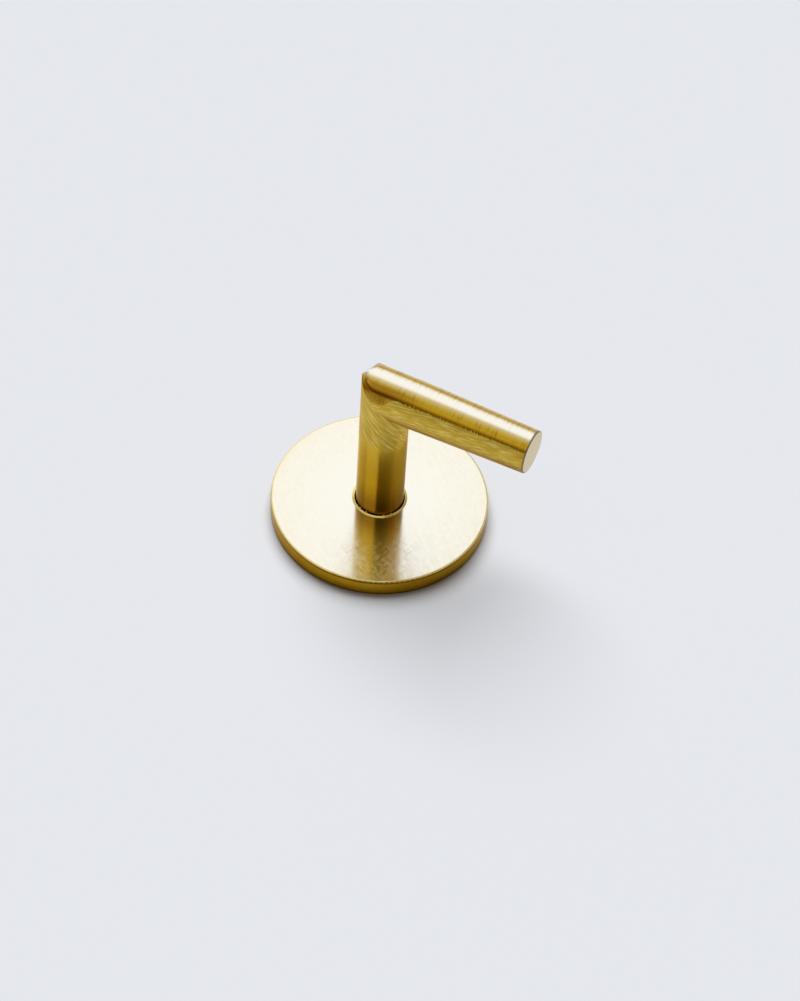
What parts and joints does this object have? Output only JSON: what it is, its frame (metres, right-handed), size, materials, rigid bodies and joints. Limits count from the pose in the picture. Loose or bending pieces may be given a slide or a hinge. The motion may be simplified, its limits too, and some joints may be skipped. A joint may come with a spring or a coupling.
{
  "type": "curtain tieback hook",
  "caption": "Right-angle curtain tieback hook in brushed brass: a round post with a mitred, tapering arm, standing on a flat round wall plate.",
  "frame": {"origin": "centre of the plate's back, at the mouth of the tapped hole", "axes": "+Z along the post, away from the wall; +X along the arm, from the post to the arm's free end"},
  "size_m": [0.0657, 0.054, 0.0498],
  "materials": {
    "plate_brass": "turned disc, brushed in crossing directions",
    "post_brass": "round bar, brushed, with slanting belt marks near the mitre",
    "arm_brass": "round bar, brushed round its girth"
  },
  "bodies": {
    "root": {"backplate": "plate_brass", "post": "post_brass", "arm": "arm_brass"}
  },
  "joints": []
}
